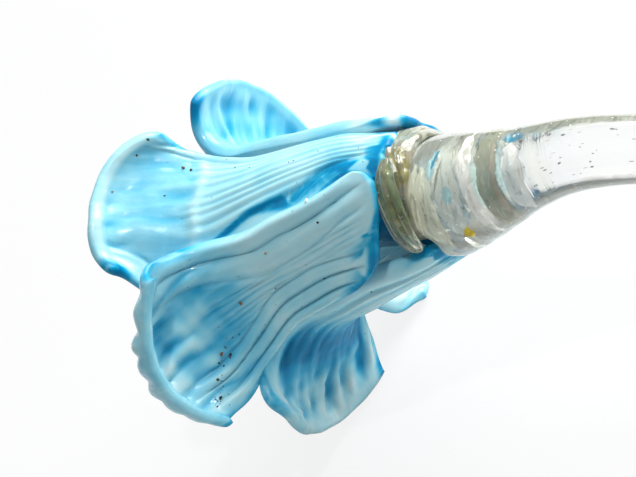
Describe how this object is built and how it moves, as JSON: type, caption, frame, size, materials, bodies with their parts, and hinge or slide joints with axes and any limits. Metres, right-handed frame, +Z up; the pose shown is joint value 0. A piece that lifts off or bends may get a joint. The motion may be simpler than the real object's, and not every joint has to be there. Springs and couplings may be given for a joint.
{
  "type": "glass dip pen",
  "caption": "Clear glass dip pen with a bent handle, a blue and white art-glass flower head at one end and a spiral-fluted glass writing point at the other.",
  "frame": {"origin": "on the floor under the middle of the pen's bounding box, as it lies", "axes": "+X along the handle from the flower to the writing point (the handle slopes down by 12.6 degrees), +Z up from the floor"},
  "size_m": [0.1882, 0.0502, 0.0455],
  "materials": {
    "milky_blue": "glossy opal glass, white ridges over blue",
    "deep_blue": "glossy transparent blue glass",
    "clear_glass": "clear, fire polished, with small bubbles",
    "olive_clear": "clear with a slight olive tint",
    "yellow_frit": "opaque yellow glass chip"
  },
  "bodies": {
    "root": {"petal_1": "milky_blue", "petal_2": "milky_blue", "petal_3": "milky_blue", "petal_4": "milky_blue", "petal_5": "milky_blue", "flower_core": "deep_blue", "neck_wrap": "olive_clear", "collar": "clear_glass", "stem": "clear_glass", "nib": "clear_glass", "frit_chip": "yellow_frit"}
  },
  "joints": []
}
